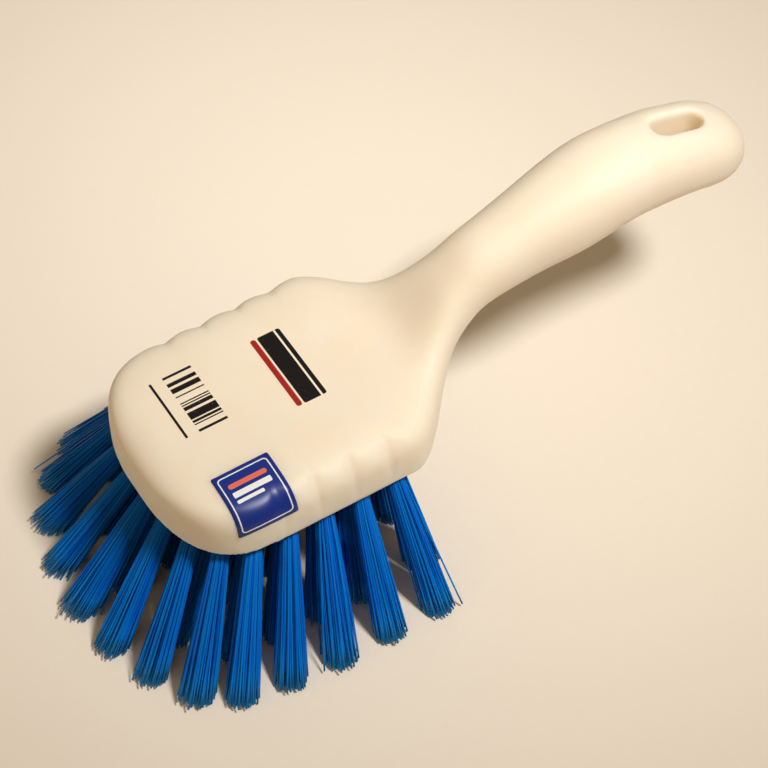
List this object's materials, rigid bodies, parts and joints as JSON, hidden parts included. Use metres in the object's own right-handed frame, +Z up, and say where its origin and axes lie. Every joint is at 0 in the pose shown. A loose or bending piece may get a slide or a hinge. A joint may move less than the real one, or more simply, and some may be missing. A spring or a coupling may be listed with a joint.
{
  "type": "scrub brush",
  "caption": "Short-handled scrub brush: an ivory one-piece block and curved handle with a hanging slot, and flared tufts of stiff blue bristles.",
  "frame": {"origin": "on the floor under the middle of the brush's box, with the brush standing on its bristle tips", "axes": "+X from the toe of the block to the end of the handle, +Y across the block, +Z up"},
  "size_m": [0.2666, 0.1394, 0.1083],
  "materials": {
    "moulding": "satin ivory polypropylene, moulded",
    "bristle": "satin blue polyester filament",
    "sticker": "glossy printed film",
    "anchor": "bright staple wire"
  },
  "bodies": {
    "root": {"block_and_handle": "moulding", "edge_sticker": "sticker", "tuft_anchors": "anchor", "tuft_core_01": "bristle", "tuft_inner_01": "bristle", "tuft_inner_02": "bristle", "tuft_inner_03": "bristle", "tuft_inner_04": "bristle", "tuft_inner_05": "bristle", "tuft_inner_06": "bristle", "tuft_middle_01": "bristle", "tuft_middle_02": "bristle", "tuft_middle_03": "bristle", "tuft_middle_04": "bristle", "tuft_middle_05": "bristle", "tuft_middle_06": "bristle", "tuft_middle_07": "bristle", "tuft_middle_08": "bristle", "tuft_middle_09": "bristle", "tuft_middle_10": "bristle", "tuft_middle_11": "bristle", "tuft_middle_12": "bristle", "tuft_middle_13": "bristle", "tuft_middle_14": "bristle", "tuft_outer_01": "bristle", "tuft_outer_02": "bristle", "tuft_outer_03": "bristle", "tuft_outer_04": "bristle", "tuft_outer_05": "bristle", "tuft_outer_06": "bristle", "tuft_outer_07": "bristle", "tuft_outer_08": "bristle", "tuft_outer_09": "bristle", "tuft_outer_10": "bristle", "tuft_outer_11": "bristle", "tuft_outer_12": "bristle", "tuft_outer_13": "bristle", "tuft_outer_14": "bristle", "tuft_outer_15": "bristle", "tuft_outer_16": "bristle", "tuft_outer_17": "bristle", "tuft_outer_18": "bristle", "tuft_outer_19": "bristle", "tuft_outer_20": "bristle", "tuft_outer_21": "bristle", "tuft_outer_22": "bristle"}
  },
  "joints": []
}
